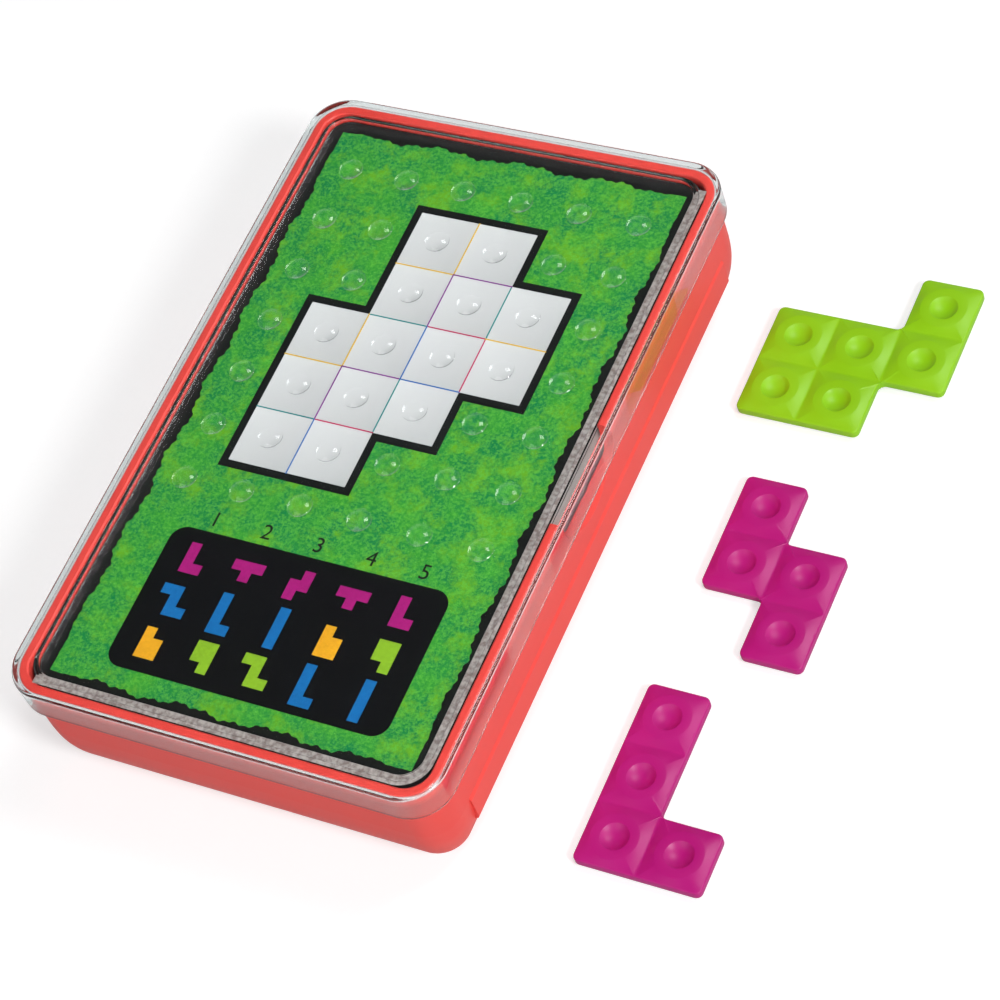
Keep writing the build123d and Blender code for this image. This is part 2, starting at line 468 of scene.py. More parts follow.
def printed_board(name, has_field):
    """Board with a printed face and a bare cut edge."""
    material, tree, shader = start_material(name, Roughness=0.45, Specular_IOR_Level=print_sheen)
    mottle = add_node(tree, "ShaderNodeGroup", node_tree=print_mottle)
    face = mixed(tree, mottle.outputs["Speckle"], ink_black, ink_black_soft)
    if has_field:
        face = mixed(tree, inside_field(tree), face, green_ink(tree)[0])
    edge = layered_edge(tree, board_edge_pale, board_edge_dark)
    tree.links.new(mixed(tree, uprightness(tree), face, edge), shader.inputs["Base Color"])
    add_bump(tree, shader, mottle.outputs["Speckle"], 0.2, 0.01 * MM)
    return material


def paper_material():
    """Uncoated paper of the folded rules, with fibres and a layered edge."""
    material, tree, shader = start_material("leaflet_paper", Roughness=0.7)
    fibres = noise(tree, coordinates(tree), 6.0, scale=500.0)
    edge = layered_edge(tree, screen_colour(236, 233, 226), screen_colour(178, 174, 168))
    face = mixed(tree, fibres, screen_colour(232, 229, 221), screen_colour(247, 245, 239))
    tree.links.new(mixed(tree, uprightness(tree), face, edge), shader.inputs["Base Color"])
    add_bump(tree, shader, fibres, 0.3, 0.02 * MM)
    return material


def field_material():
    """Green ink on the face of the card in play."""
    material, tree, shader = start_material("green_print", Specular_IOR_Level=print_sheen)
    colour, speckle = green_ink(tree)
    tree.links.new(colour, shader.inputs["Base Color"])
    tree.links.new(stretched(tree, speckle, 0.0, 1.0, 0.36, 0.5), shader.inputs["Roughness"])
    return material


card_black = printed_board("printed_card_black", has_field=False)
card_board = printed_board("printed_card_board", has_field=True)
leaflet_paper = paper_material()
green_print = field_material()
print("Card reach in mm:", [round(value / MM, 1) for value in card_reach])

# %% [markdown]
# The pieces that the frame already shapes well keep their meshes, and only get their finish.
# They are the red shell, the cards and the folded rules.

# %% Dress the pieces that keep their own mesh
def dress(node, material):
    """Gives a piece of the frame its finish."""
    data = frame["nodes"][node].data
    data.materials.clear()
    data.materials.append(material)


dress("box_shell", red_plastic)
dress("puzzle_card", card_black)
dress("rules_leaflet", leaflet_paper)
spare_cards = [name for name in frame["nodes"] if name.startswith("spare_card")]
for name in spare_cards:
    dress(name, card_board)
print("Spare cards dressed:", len(spare_cards))

# %% [markdown]
# Every new mesh gets its material when it is made, and ends the same way: it is shaded smooth
# with sharp edges by angle, gets its place in the tree of bodies, and the frame's piece that it
# stands for is hidden.

# %% Finish a new piece
smooth_angle = math.radians(48)
merge_distance = 0.0001 * MM


def finish_piece(obj, body, replaced=None):
    """Hands a finished mesh over to the body that carries it."""
    obj.data.shade_smooth()
    obj.data.set_sharp_from_angle(angle=smooth_angle)
    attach(obj, body)
    if replaced:
        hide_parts(replaced)
    return obj


def new_object(name, mesh, material=None):
    """An object at the origin that shows a mesh."""
    if material:
        mesh.materials.clear()
        mesh.materials.append(material)
    obj = bpy.data.objects.new(name, mesh)
    bpy.context.scene.collection.objects.link(obj)
    return obj


def mesh_from(name, build):
    """A mesh made by a function that fills an empty bmesh, with its normals turned outwards."""
    shape = bmesh.new()
    build(shape)
    bmesh.ops.remove_doubles(shape, verts=shape.verts, dist=merge_distance)
    bmesh.ops.recalc_face_normals(shape, faces=shape.faces)
    mesh = bpy.data.meshes.new(name)
    shape.to_mesh(mesh)
    shape.free()
    return mesh


print("Finishing helpers are ready")

# %% [markdown]
# The clear lid is one moulding: a skirt that slips over the shell, a flat rim, and a sunken
# pan that carries the studs. A lathe can't make it, because it is a rounded rectangle, but
# the idea is the same: a closed path, given as inset and height, is carried round the lid as
# rings of equal point count. Each corner of the path is rounded by a small arc, and those
# arcs are what gives the edges their bright lines.

# %% Sizes of the lid
lid_size = lid_high - lid_low
lid_top = lid_high.z
lid_bottom = lid_low.z
lid_corner = 9.5 * MM
lid_wall = 1.2 * MM
rim_width = 5.9 * MM
recess_corner = 5.0 * MM
recess_depth = 1.5 * MM
pan_margin = 1.0 * MM
corner_steps = 14
arc_steps = 6
pan_top = lid_top - recess_depth
pan_bottom = pan_top - lid_wall
print("Clear gap above the card in mm:", round((pan_bottom - card_high.z) / MM, 2))


# %% Rings of a rounded rectangle
def rounded_rectangle(width, length, corner, steps):
    """Points of a rounded rectangle round the origin, anticlockwise."""
    points = []
    for quarter, (side_x, side_y) in enumerate(((1, 1), (-1, 1), (-1, -1), (1, -1))):
        centre = Vector((side_x * (width / 2 - corner), side_y * (length / 2 - corner)))
        for step in range(steps + 1):
            turn = math.radians(90) * (quarter + step / steps)
            points.append(centre + corner * Vector((math.cos(turn), math.sin(turn))))
    return points


def rounded_path(stations, steps):
    """A path of square corners, each with its own radius, with arcs in their place.

    A station is a place, a radius and the sum of inset and corner that holds round it."""
    path = []
    for index, (place, radius, total) in enumerate(stations):
        here = Vector(place)
        if radius == 0:
            path.append((here, total))
            continue
        before = (Vector(stations[index - 1][0]) - here).normalized()
        after = (Vector(stations[index + 1][0]) - here).normalized()
        for step in range(steps + 1):
            turn = math.radians(90) * step / steps
            bend = before * (1 - math.sin(turn)) + after * (1 - math.cos(turn))
            path.append((here + radius * bend, total))
    return path


def ring_shell(shape, width, length, path):
    """Carries a path round a rounded rectangle and closes its two ends with flat faces."""
    rings = []
    for (inset, height), total in path:
        size = (width - 2 * inset, length - 2 * inset)
        points = rounded_rectangle(*size, total - inset, corner_steps)
        rings.append([shape.verts.new((x, y, height)) for x, y in points])
    for ring, following in zip(rings, rings[1:]):
        for index in range(len(ring)):
            past = (index + 1) % len(ring)
            shape.faces.new((ring[index], ring[past], following[past], following[index]))
    shape.faces.new(rings[0])
    shape.faces.new(reversed(rings[-1]))


# %% Body of the lid
def build_lid_body(shape):
    """The lid without its studs."""
    recess_total = recess_corner + rim_width
    under_rim = lid_top - lid_wall
    wall_inset = rim_width - lid_wall
    stations = [
        ((rim_width + pan_margin, pan_top), 0, recess_total),
        ((rim_width, pan_top), 0.3 * MM, recess_total),
        ((rim_width, lid_top), 0.35 * MM, recess_total),
        ((0, lid_top), 0.75 * MM, lid_corner),
        ((0, lid_bottom), 0.3 * MM, lid_corner),
        ((lid_wall, lid_bottom), 0.25 * MM, lid_corner),
        ((lid_wall, under_rim), 0.4 * MM, lid_corner),
        ((wall_inset, under_rim), 0.3 * MM, recess_total),
        ((wall_inset, pan_bottom), 0.4 * MM, recess_total),
        ((rim_width + pan_margin, pan_bottom), 0, recess_total),
    ]
    ring_shell(shape, lid_size.x, lid_size.y, rounded_path(stations, arc_steps))


lid_body = new_object("lid_body", mesh_from("lid_body", build_lid_body), clear_plastic)
print("Faces of the lid body:", len(lid_body.data.polygons))

# %% [markdown]
# The studs repeat on a grid, which is work for Geometry Nodes. One stud is modelled by
# turning a short profile, and a small tree with named inputs places it on a grid of points,
# makes the copies real and gives them their material. The result becomes a plain mesh and is
# united with the lid, so that light meets no hidden faces inside the plastic.

# %% One stud
pitch = 15.0 * MM
stud_radius = 3.0 * MM
stud_side = 0.15 * MM
stud_rise = 1.3 * MM
stud_sink = 0.25 * MM
stud_sides = 48
stud_rings = 9


def build_stud(shape):
    """A low drum with a domed top, turned round its middle, that starts below height zero."""
    dome = stud_rise - stud_side
    ball = (stud_radius ** 2 + dome ** 2) / (2 * dome)
    profile = [(stud_radius, -stud_sink), (stud_radius, stud_side)]
    for step in range(1, stud_rings):
        radius = stud_radius * math.cos(math.radians(90) * step / stud_rings)
        profile.append((radius, stud_rise - ball + math.sqrt(ball ** 2 - radius ** 2)))
    turns = [math.tau * side / stud_sides for side in range(stud_sides)]
    ways_round = [(math.cos(turn), math.sin(turn)) for turn in turns]
    rings = [
        [shape.verts.new((radius * x, radius * y, height)) for x, y in ways_round]
        for radius, height in profile
    ]
    for ring, following in zip(rings, rings[1:]):
        for side in range(stud_sides):
            past = (side + 1) % stud_sides
            shape.faces.new((ring[side], ring[past], following[past], following[side]))
    shape.faces.new(reversed(rings[0]))
    top = shape.verts.new((0, 0, stud_rise))
    for side in range(stud_sides):
        shape.faces.new((rings[-1][side], rings[-1][(side + 1) % stud_sides], top))


# %% A grid of studs by Geometry Nodes
def build_grid_tree():
    """A tree that stands copies of an object on a grid of points."""
    tree = bpy.data.node_groups.new("stud_grid", "GeometryNodeTree")
    sockets = {}
    for label, kind in (
        ("Stud", "NodeSocketObject"),
        ("Columns", "NodeSocketInt"),
        ("Rows", "NodeSocketInt"),
        ("Width", "NodeSocketFloat"),
        ("Length", "NodeSocketFloat"),
        ("Place", "NodeSocketVector"),
        ("Material", "NodeSocketMaterial"),
    ):
        socket = tree.interface.new_socket(label, in_out="INPUT", socket_type=kind)
        sockets[label] = socket.identifier
    tree.interface.new_socket("Geometry", in_out="OUTPUT", socket_type="NodeSocketGeometry")
    entry = tree.nodes.new("NodeGroupInput")
    result = tree.nodes.new("NodeGroupOutput")
    grid = tree.nodes.new("GeometryNodeMeshGrid")
    move = tree.nodes.new("GeometryNodeTransform")
    source = tree.nodes.new("GeometryNodeObjectInfo")
    copies = tree.nodes.new("GeometryNodeInstanceOnPoints")
    real = tree.nodes.new("GeometryNodeRealizeInstances")
    finish = tree.nodes.new("GeometryNodeSetMaterial")
    for start, end in (
        (entry.outputs["Width"], grid.inputs["Size X"]),
        (entry.outputs["Length"], grid.inputs["Size Y"]),
        (entry.outputs["Columns"], grid.inputs["Vertices X"]),
        (entry.outputs["Rows"], grid.inputs["Vertices Y"]),
        (grid.outputs["Mesh"], move.inputs["Geometry"]),
        (entry.outputs["Place"], move.inputs["Translation"]),
        (move.outputs["Geometry"], copies.inputs["Points"]),
        (entry.outputs["Stud"], source.inputs["Object"]),
        (source.outputs["Geometry"], copies.inputs["Instance"]),
        (copies.outputs["Instances"], real.inputs["Geometry"]),
        (real.outputs["Geometry"], finish.inputs["Geometry"]),
        (entry.outputs["Material"], finish.inputs["Material"]),
        (finish.outputs["Geometry"], result.inputs["Geometry"]),
    ):
        tree.links.new(start, end)
    return tree, sockets


def evaluated_mesh(obj, name):
    """A plain mesh of what an object and its modifiers make."""
    bpy.context.view_layer.update()
    graph = bpy.context.evaluated_depsgraph_get()
    mesh = bpy.data.meshes.new_from_object(obj.evaluated_get(graph))
    mesh.name = name
    return mesh


stud_columns = 6
stud_rows = 7
stud_field_middle = 21.3 * MM
stud_sample = new_object("stud_sample", mesh_from("stud_sample", build_stud))
stud_carrier = new_object("stud_carrier", bpy.data.meshes.new("stud_carrier"))
grid_tree, grid_sockets = build_grid_tree()
grid_values = {
    "Stud": stud_sample,
    "Columns": stud_columns,
    "Rows": stud_rows,
    "Width": (stud_columns - 1) * pitch,
    "Length": (stud_rows - 1) * pitch,
    "Place": (0.0, stud_field_middle, pan_top),
    "Material": clear_plastic,
}
grid = stud_carrier.modifiers.new("stud_grid", "NODES")
grid.node_group = grid_tree
for label, value in grid_values.items():
    grid[grid_sockets[label]] = value
stud_field = new_object("stud_field", evaluated_mesh(stud_carrier, "stud_field"))
print("Studs made:", stud_columns * stud_rows, "with faces:", len(stud_field.data.polygons))


# %% Unite the studs with the lid
def united(obj, other, name):
    """The plain mesh of two closed meshes joined into one skin."""
    union = obj.modifiers.new("union", "BOOLEAN")
    union.operation = "UNION"
    union.solver = "EXACT"
    union.object = other
    mesh = evaluated_mesh(obj, name)
    obj.modifiers.remove(union)
    return mesh


lid_mesh = united(lid_body, stud_field, "clear_lid_moulding")
for helper in (stud_sample, stud_carrier, stud_field, lid_body):
    bpy.data.objects.remove(helper)
clear_lid = new_object("clear_lid_moulding", lid_mesh, clear_plastic)
finish_piece(clear_lid, "lid", "clear_lid")
print("Faces of the finished lid:", len(lid_mesh.polygons))

# %% [markdown]
# The puzzle pieces follow one rule. Each square has a round dimple that fits a stud, a flat
# ring round it, and four soft slopes down to the border of the square, so that neighbours
# meet in a shallow valley. The mesh is laid out as spokes from the middle of each square to
# its border. Where a side lies on the outside of the piece, the border is drawn in, its
# corners follow arcs, and a rounded lip turns down to the side wall.

# %% Sizes of the pieces
seam_gap = 0.3 * MM
piece_edge = 2.0 * MM
dimple_radius = 3.25 * MM
dimple_depth = 1.25 * MM
ring_radius = 5.5 * MM
outer_corner = 1.5 * MM
hollow_corner = 1.5 * MM
lip = 0.32 * MM
half = pitch / 2
inset = seam_gap / 2
side_steps = 12
side_crowding = 1.8
slope_softness = 0.1
bend_softness = 0.05 * MM
dimple_shares = (0.2, 0.4, 0.6, 0.8, 0.95)
slope_shares = (0.1, 0.25, 0.4, 0.55, 0.7, 0.85)
lip_shares = (0, 0.33, 0.67, 1)
eighth = math.radians(45)
ways = ((1, 0), (0, 1), (-1, 0), (0, -1))


# %% Border of one square
def side_places():
    """Places along one side from a corner to just before the next, crowded at the corners."""
    shares = [(step / side_steps) ** side_crowding for step in range(side_steps + 1)]
    near = [-half + half * share for share in shares]
    far = [half - half * share for share in reversed(shares)]
    return near + far[1:-1]


def along_open_side(place, has_next, has_diagonal):
    """Inset out and along of a point on an outside side, measured from the square's middle.

    The place is counted from the middle towards the corner that the two flags describe."""
    reach = half - inset
    if not has_next:
        place = place * reach / half
        straight = reach - outer_corner
        if place <= straight:
            return reach, place
        turn = eighth * (place - straight) / outer_corner
        return straight + outer_corner * math.cos(turn), straight + outer_corner * math.sin(turn)
    start = half - (hollow_corner - inset)
    if has_diagonal and place > start:
        turn = eighth * (place - start) / (half - start)
        out = half + hollow_corner - inset - hollow_corner * math.cos(turn)
        return out, start + hollow_corner * math.sin(turn)
    return reach, place


def border(squares, column, row):
    """Points round one square, anticlockwise.

    The first flag tells if the point lies on the outside of the piece, the second one if the
    stretch up to the next point does."""
    points = []
    for side, way in enumerate(ways):
        onward = ways[(side + 1) % 4]
        for place in side_places():
            sign = 1 if place > 0 else -1
            beside = (way[0] + sign * onward[0], way[1] + sign * onward[1])
            has_side = (column + way[0], row + way[1]) in squares
            has_next = (column + sign * onward[0], row + sign * onward[1]) in squares
            has_diagonal = (column + beside[0], row + beside[1]) in squares
            at_corner = abs(place) == half
            if not has_side:
                out, along = along_open_side(abs(place), has_next, has_diagonal)
            elif at_corner and not has_next:
                along, out = along_open_side(half, has_side, has_diagonal)
            elif at_corner and not has_diagonal:
                out = along = half - inset + hollow_corner * (1 - math.cos(eighth))
            else:
                out = half
                straight_on = has_next or has_diagonal
                along = abs(place) * (1 if straight_on else (half - inset) / half)
            along = along * sign
            spot = Vector((out * way[0] + along * onward[0], out * way[1] + along * onward[1]))
            outside = not has_side or (at_corner and not (has_next and has_diagonal))
            points.append((spot, outside, not has_side))
    return points


# %% Height of one square along a spoke
def spoke_rings(top):
    """Distances from the middle and heights of the dimple and the flat ring, on the top face."""
    ball = (dimple_radius ** 2 + dimple_depth ** 2) / (2 * dimple_depth)
    soft = bend_softness
    rings = []
    for share in dimple_shares:
        distance = dimple_radius * share
        rings.append((distance, top - dimple_depth + ball - math.sqrt(ball ** 2 - distance ** 2)))
    rings.append((dimple_radius - 0.2 * soft, top - 0.6 * soft))
    rings.append((dimple_radius + 0.4 * soft, top - 0.12 * soft))
    rings.append((dimple_radius + 1.4 * soft, top))
    rings.append((ring_radius - 2.5 * soft, top))
    rings.append((ring_radius, top - 0.5 * soft))
    return rings


def spoke_points(spot, outside, top, middle):
    """The points of one spoke on the top face, from the dimple to the border or round the lip."""
    towards = spot.normalized()
    points = [Vector((*(towards * distance), height)) for distance, height in spoke_rings(top)]
    start = points[-1]
    end = Vector((*spot, middle + piece_edge / 2))
    for share in slope_shares:
        point = start.lerp(end, share)
        eased = share * share * (3 - 2 * share)
        point.z += slope_softness * (eased - share) * (end.z - start.z)
        points.append(point)
    if not outside:
        return points + [end]
    inner = end + (start - end).normalized() * lip
    lower = end - Vector((0, 0, lip))
    for share in lip_shares:
        points.append(inner.lerp(end, share).lerp(end.lerp(lower, share), share))
    return points


# %% Mesh of a whole piece
def join_spokes(shape, first, second):
    """Faces between two neighbouring spokes, which may differ in length at the lip."""
    for index in range(max(len(first), len(second)) - 1):
        corners = [
            first[min(index, len(first) - 1)],
            first[min(index + 1, len(first) - 1)],
            second[min(index + 1, len(second) - 1)],
            second[min(index, len(second) - 1)],
        ]
        distinct = list(dict.fromkeys(corners))
        if len(distinct) > 2:
            shape.faces.new(distinct)


def build_piece(shape, squares, origin, bottom, thickness):
    """A puzzle piece from its squares, alike on both faces."""
    middle = bottom + thickness / 2
    top = bottom + thickness
    for column, row in squares:
        centre = Vector((origin.x + column * pitch, origin.y + row * pitch, 0))
        edge = border(squares, column, row)
        faces = []
        for mirror in (1, -1):
            spokes = []
            for spot, outside, is_open in edge:
                points = spoke_points(spot, outside, top, middle)
                for point in points:
                    point.z = middle + mirror * (point.z - middle)
                spokes.append([shape.verts.new(centre + point) for point in points])
            hub_height = middle + mirror * (top - dimple_depth - middle)
            hub = shape.verts.new(centre + Vector((0, 0, hub_height)))
            for index, spoke in enumerate(spokes):
                following = spokes[(index + 1) % len(spokes)]
                join_spokes(shape, spoke, following)
                shape.faces.new((hub, spoke[0], following[0]))
            faces.append(spokes)
        upper, lower = faces
        for index in range(len(edge)):
            past = (index + 1) % len(edge)
            if edge[index][2]:
                wall = (upper[index], upper[past], lower[past], lower[index])
                shape.faces.new([spoke[-1] for spoke in wall])


# %% All the pieces
piece_squares = {
    "piece_bar_blue": ((0, 0), (0, 1), (0, 2), (0, 3)),
    "piece_tee_magenta": ((1, 0), (2, 0), (3, 0), (2, 1)),
    "piece_twig_blue": ((4, 0), (4, 1), (4, 2), (4, 3), (3, 1)),
    "piece_flag_yellow": ((1, 3), (2, 3), (3, 3), (2, 2), (3, 2)),
    "piece_hook_blue": ((0, 4), (0, 5), (0, 6), (0, 7), (1, 7)),
    "piece_zed_blue": ((1, 4), (2, 4), (2, 5), (2, 6), (3, 6)),
    "piece_stair_lime": ((2, 7), (2, 8), (3, 8), (3, 9), (4, 9)),
    "piece_block_lime": ((0, 0), (1, 0), (0, 1), (1, 1), (2, 1), (2, 2)),
    "piece_step_magenta": ((0, 1), (0, 0), (1, 0), (1, -1)),
    "piece_ell_magenta": ((0, 2), (0, 1), (0, 0), (1, 0)),
}
for node, squares in piece_squares.items():
    low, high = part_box(node)
    first_column = min(column for column, row in squares)
    first_row = min(row for column, row in squares)
    origin_x = low.x + half - inset - first_column * pitch
    origin_y = low.y + half - inset - first_row * pitch
    origin = Vector((origin_x, origin_y))
    thickness = high.z - low.z
    mesh = mesh_from(
        f"{node}_moulding", lambda shape: build_piece(shape, squares, origin, low.z, thickness)
    )
    colour = node.rsplit("_", 1)[1]
    piece = new_object(f"{node}_moulding", mesh, piece_plastics[colour])
    body = frame["nodes"][node]["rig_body"]
    finish_piece(piece, body, node)
    print(node, "has faces:", len(mesh.polygons))

# %% [markdown]
# The print on the card in play is a general puzzle design of this kind: a green field with a
# waved edge, a white shape of squares to be filled, and a dark key that shows sets of pieces
# under plain numbers. Each layer of ink is a very thin plate, so its outline stays crisp
# in any picture and in the mesh. The layers start just inside the card, and each
# next one reaches a little higher.

# %% Plates of ink
ink_sink = 0.01 * MM
ink_step = 0.03 * MM


def build_plate(shape, outlines, layer):
    """Flat plates over closed outlines, as high as their layer of ink."""
    low = card_high.z - ink_sink
    high = card_high.z + layer * ink_step
    for outline in outlines:
        below = [shape.verts.new((x, y, low)) for x, y in outline]
        above = [shape.verts.new((x, y, high)) for x, y in outline]
        shape.faces.new(below)
        shape.faces.new(reversed(above))
        for index in range(len(outline)):
            past = (index + 1) % len(outline)
            shape.faces.new((below[index], below[past], above[past], above[index]))


def ink(name, outlines, layer, material):
    """A layer of ink on the card in play."""
    mesh = mesh_from(name, lambda shape: build_plate(shape, outlines, layer))
    return finish_piece(new_object(name, mesh, material), "card_in_play")


ink_gloss = 0.42
speckle_tone = 0.86


def plain_ink(name, tone):
    """Even ink of a screen tone, with the fine speckle of the print."""
    values = {"Roughness": ink_gloss, "Specular_IOR_Level": print_sheen}
    material, tree, shader = start_material(name, **values)
    mottle = add_node(tree, "ShaderNodeGroup", node_tree=print_mottle)
    colour = screen_colour(*tone)
    darker = tuple(value * speckle_tone for value in colour[:3]) + (1.0,)
    speckled = mixed(tree, mottle.outputs["Speckle"], darker, colour)
    tree.links.new(speckled, shader.inputs["Base Color"])
    return material


black_ink = plain_ink("black_ink", (24, 24, 25))
print("Layers of ink rise in mm:", round(ink_step / MM, 3))

# %% Green field
field_wave = 0.6 * MM
field_waves_across = 13
field_waves_along = 23
field_points = 150
field_inset = 0.8
swell_rate = 0.31
ripple_depth = 0.55
cross_rate = 2.73
cross_depth = 0.4
corner_fade = 6


def waved_field():
    """A rounded field on the card whose edge runs in shallow, slightly uneven waves."""
    points = []
    reach = card_reach - Vector((field_margin, field_margin, 0)) * field_inset
    sides = (
        (Vector((1, 0)), Vector((0, 1)), reach.x, reach.y, field_waves_along),
        (Vector((0, 1)), Vector((-1, 0)), reach.y, reach.x, field_waves_across),
        (Vector((-1, 0)), Vector((0, -1)), reach.x, reach.y, field_waves_along),
        (Vector((0, -1)), Vector((1, 0)), reach.y, reach.x, field_waves_across),
    )
    for number, (way, onward, out, along, waves) in enumerate(sides):
        count = field_points * waves // field_waves_across
        for index in range(count):
            share = index / count
            swell = math.sin(math.tau * (swell_rate * waves * share + 0.4 * number))
            ripple = ripple_depth * math.sin(math.tau * waves * share)
            cross = math.sin(math.tau * (cross_rate * waves * share + 0.7 * number))
            ripple += cross_depth * cross
            edge_fade = min(1.0, corner_fade * share, corner_fade * (1 - share))
            shift = field_wave * edge_fade * (swell + ripple)
            points.append(way * (out + shift) + onward * along * (2 * share - 1))
    return points


ink("green_field", [waved_field()], 1, green_print)
print("The field has its own waved edge")


# %% White shape to fill
puzzle_rows = ((1, 2), (1, 3), (0, 4), (0, 3), (0, 2))
puzzle_left = -30.0 * MM
puzzle_top = stud_field_middle + (stud_rows / 2 - 1) * pitch
frame_width = 1.95 * MM
line_width = 0.32 * MM


def rows_outline(rows, left, top, step):
    """The outline of a shape of squares, given row by row as its offset and its count."""
    right_side = []
    left_side = []
    for number, (offset, count) in enumerate(rows):
        upper = top - number * step
        for height in (upper, upper - step):
            right_side.append(Vector((left + (offset + count) * step, height)))
            left_side.append(Vector((left + offset * step, height)))
    loop = right_side + left_side[::-1]
    return without_straights(loop)


def without_straights(loop):
    """A loop of points without the ones that turn nothing."""
    kept = []
    for index, point in enumerate(loop):
        before = point - loop[index - 1]
        after = loop[(index + 1) % len(loop)] - point
        if before.length > 0 and after.length > 0 and abs(before.cross(after)) > 1e-12:
            kept.append(point)
    return kept


def grown(loop, amount):
    """A clockwise loop of square corners, moved outwards by an amount."""
    points = []
    for index, point in enumerate(loop):
        before = (point - loop[index - 1]).normalized()
        after = (loop[(index + 1) % len(loop)] - point).normalized()
        outwards = Vector((-before.y, before.x)) + Vector((-after.y, after.x))
        points.append(point + outwards * amount)
    return points


def cell_material():
    """White ink of the squares, with the soft grey shade that runs across each of them."""
    values = {"Roughness": 0.4, "Specular_IOR_Level": print_sheen}
    material, tree, shader = start_material("white_cells", **values)
    squares = {
        "Location": (-puzzle_left / pitch, -puzzle_top / pitch, 0),
        "Scale": (1 / pitch, 1 / pitch, 1 / pitch),
    }
    move = add_node(tree, "ShaderNodeMapping", inputs=squares)
    tree.links.new(coordinates(tree), move.inputs["Vector"])
    part = add_node(tree, "ShaderNodeVectorMath", operation="FRACTION")
    tree.links.new(move.outputs["Vector"], part.inputs[0])
    across, along = separated(tree, part.outputs["Vector"])[:2]
    share = stretched(tree, calculated(tree, "SUBTRACT", across, along), -1.0, 1.0)
    shade = mixed(tree, share, screen_colour(230, 229, 229), screen_colour(198, 197, 197))
    tree.links.new(shade, shader.inputs["Base Color"])
    return material


shape_outline = rows_outline(puzzle_rows, puzzle_left, puzzle_top, pitch)
ink("puzzle_frame", [grown(shape_outline, frame_width)], 2, black_ink)
ink("puzzle_cells", [shape_outline], 3, cell_material())
print("Squares to fill:", sum(count for offset, count in puzzle_rows))

# %% Thin coloured lines between the squares
line_tones = {
    "teal": (18, 140, 140),
    "pink": (205, 30, 95),
    "gold": (240, 190, 40),
    "violet": (140, 50, 150),
    "sky": (50, 110, 190),
}


def bar_outline(start, end, width):
    """A thin rectangle from one point to another."""
    run = (end - start).normalized() * width / 2
    side = Vector((-run.y, run.x))
    return [start - run + side, end + run + side, end + run - side, start - run - side]


def cell_lines():
    """The lines between neighbouring squares, shared out over the colours in turn."""
    cells = {
        (offset + step, row)
        for row, (offset, count) in enumerate(puzzle_rows)
        for step in range(count)
    }
    lines = {name: [] for name in line_tones}
    names = list(line_tones)
    for column, row in sorted(cells):
        corner = Vector((puzzle_left + (column + 1) * pitch, puzzle_top - (row + 1) * pitch))
        up = corner + Vector((0, pitch))
        back = corner - Vector((pitch, 0))
        if (column + 1, row) in cells:
            name = names[(2 * column + row) % len(names)]
            lines[name].append(bar_outline(corner, up, line_width))
        if (column, row + 1) in cells:
            name = names[(column + 3 * row + 1) % len(names)]
            lines[name].append(bar_outline(back, corner, line_width))
    return lines


for number, (name, outlines) in enumerate(cell_lines().items()):
    layer = 4 + 0.1 * number
    ink(f"cell_lines_{name}", outlines, layer, plain_ink(f"{name}_ink", line_tones[name]))
print("Line colours:", ", ".join(line_tones))

# %% [markdown]
# The key below the puzzle is a dark panel with five columns of small signs. Each sign is a
# shape of squares in the colour of a real piece, and each column stands under a plain number.
# Numbers are text objects turned into meshes before they are moved to their place.

# %% Dark key panel
key_middle = Vector((1.0 * MM, -53.5 * MM))
key_width = 70.0 * MM
key_length = 37.0 * MM
key_corner = 4.0 * MM
key_columns = 5
key_column_step = 13.2 * MM
key_row_step = 11.2 * MM
sign_square = 2.6 * MM
key_panel = [
    key_middle + point
    for point in rounded_rectangle(key_width, key_length, key_corner, corner_steps)
]
ink("key_panel", [key_panel[::-1]], 2, plain_ink("key_black", (12, 12, 14)))
print("Key columns:", key_columns)

# %% Signs in the key
sign_shapes = {
    "ell": ((0, 1), (0, 1), (0, 2)),
    "zed": ((0, 2), (1, 1), (1, 2)),
    "tee": ((0, 3), (1, 1)),
    "step": ((1, 1), (0, 2), (0, 1)),
    "flag": ((0, 1), (0, 2), (0, 2)),
    "long_ell": ((0, 1), (0, 1), (0, 1), (0, 2)),
    "bar": ((0, 1), (0, 1), (0, 1), (0, 1)),
    "block": ((0, 2), (0, 2), (1, 1)),
}
key_signs = (
    (("ell", "magenta"), ("zed", "blue"), ("flag", "yellow")),
    (("tee", "magenta"), ("long_ell", "blue"), ("block", "lime")),
    (("step", "magenta"), ("bar", "blue"), ("zed", "lime")),
    (("tee", "magenta"), ("flag", "yellow"), ("long_ell", "blue")),
    (("ell", "magenta"), ("block", "lime"), ("bar", "blue")),
)
sign_tones = {
    "magenta": (176, 28, 122),
    "lime": (148, 194, 45),
    "blue": (24, 114, 182),
    "yellow": (248, 178, 38),
}


def sign_outline(shape, centre):
    """The outline of a small sign round its centre."""
    rows = sign_shapes[shape]
    width = max(offset + count for offset, count in rows) * sign_square
    height = len(rows) * sign_square
    return rows_outline(rows, centre.x - width / 2, centre.y + height / 2, sign_square)


def key_spot(column, up):
    """A place over a column of the key, at a height above its middle."""
    return key_middle + Vector(((column - (key_columns - 1) / 2) * key_column_step, up))


for colour, tone in sign_tones.items():
    outlines = [
        sign_outline(shape, key_spot(column, (1 - row) * key_row_step))
        for column, signs in enumerate(key_signs)
        for row, (shape, sign_colour) in enumerate(signs)
        if sign_colour == colour
    ]
    ink(f"key_signs_{colour}", outlines, 3, plain_ink(f"{colour}_ink", tone))
print("Sign colours:", ", ".join(sign_tones))


# %% Plain numbers
number_size = 5.4 * MM
number_rise = 3.2 * MM


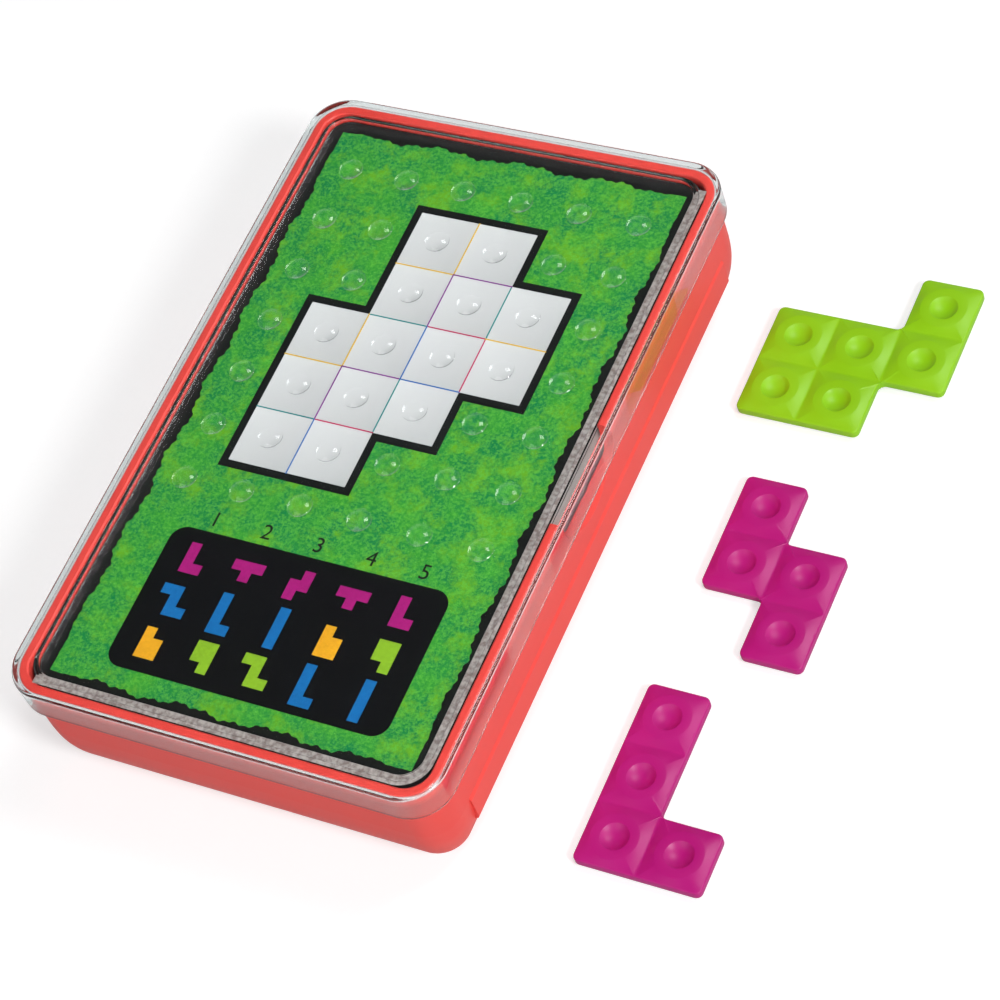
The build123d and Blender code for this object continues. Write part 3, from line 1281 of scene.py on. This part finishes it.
def number_mesh(value, centre):
    """The mesh of a plain number on the card, with its place applied."""
    text = bpy.data.curves.new(f"number_{value}", "FONT")
    text.body = str(value)
    text.size = number_size
    text.align_x = "CENTER"
    text.align_y = "CENTER"
    text.extrude = ink_step
    writing = new_object(f"number_{value}", text)
    mesh = evaluated_mesh(writing, f"number_{value}")
    bpy.data.objects.remove(writing)
    mesh.transform(Matrix.Translation((centre.x, centre.y, card_high.z + ink_step)))
    return mesh


def build_numbers(shape):
    """The numbers one to five over the columns of the key."""
    for column in range(key_columns):
        spot = key_spot(column, key_length / 2 + number_rise)
        shape.from_mesh(number_mesh(column + 1, spot))


numbers = new_object("key_numbers", mesh_from("key_numbers", build_numbers), black_ink)
finish_piece(numbers, "card_in_play")
print("Numbers in the key:", key_columns)

# %% [markdown]
# The stage is a pale floor and soft studio light. The main lamp stands to the right, a little
# towards the camera, so that the slopes that face right are bright and those that face left
# are darker. A second lamp behind the set on the right lights what lies flat, and a wide, weak
# one on the near side fills the shadows. The sky is dark overhead, because the flat lid mirrors it.
# The floor glows a little for rays that come from the camera, straight or through the lid, so
# that it looks white while the shadow of the set stays on it.

# %% Floor and light
floor_size = 6.0
floor_mesh = bpy.data.meshes.new("floor")
reach = floor_size / 2
floor_corners = [(-reach, -reach, 0), (reach, -reach, 0), (reach, reach, 0), (-reach, reach, 0)]
floor_mesh.from_pydata(floor_corners, [], [(0, 1, 2, 3)])
floor_tone = screen_colour(205, 205, 205)
floor_glow = 0.55


def floor_finish():
    """A pale, dull floor that glows a little where a ray from the camera meets it."""
    material, tree, shader = start_material(
        "pale_floor", Base_Color=floor_tone, Roughness=0.9, Emission_Strength=1.0
    )
    rays = add_node(tree, "ShaderNodeLightPath").outputs
    seen = calculated(tree, "MAXIMUM", rays["Is Camera Ray"], rays["Is Transmission Ray"])
    glow = (floor_glow, floor_glow, floor_glow, 1.0)
    tree.links.new(mixed(tree, seen, screen_colour(0, 0, 0), glow), shader.inputs["Emission Color"])
    return material


floor = new_object("floor", floor_mesh, floor_finish())


def soft_lamp(name, place, size, power):
    """A square lamp that looks at the middle of the set."""
    data = bpy.data.lights.new(name, "AREA")
    data.shape = "SQUARE"
    data.size = size
    data.energy = power
    lamp = bpy.data.objects.new(name, data)
    lamp.location = place
    lamp.rotation_euler = (camera_target - Vector(place)).to_track_quat("-Z", "Y").to_euler()
    bpy.context.scene.collection.objects.link(lamp)


def sky():
    """A world that is pale near the horizon and dark overhead."""
    world = bpy.data.worlds.new("studio")
    world.use_nodes = True
    tree = world.node_tree
    height = separated(tree, coordinates(tree, "Generated"))["Z"]
    colour = mixed(tree, stretched(tree, height, 0.1, 0.6), sky_low, sky_high)
    tree.links.new(colour, tree.nodes["Background"].inputs["Color"])
    return world


sky_low = screen_colour(188, 190, 193)
sky_high = screen_colour(52, 53, 55)
for name, place, size, power in (
    ("key_lamp", (1.0, -0.35, 0.85), 0.3, 11.5),
    ("back_lamp", (0.5, 0.6, 1.2), 0.5, 7.0),
    ("fill_lamp", (-0.2, -1.1, 0.95), 1.0, 5.2),
):
    soft_lamp(name, place, size, power)
bpy.context.scene.world = sky()
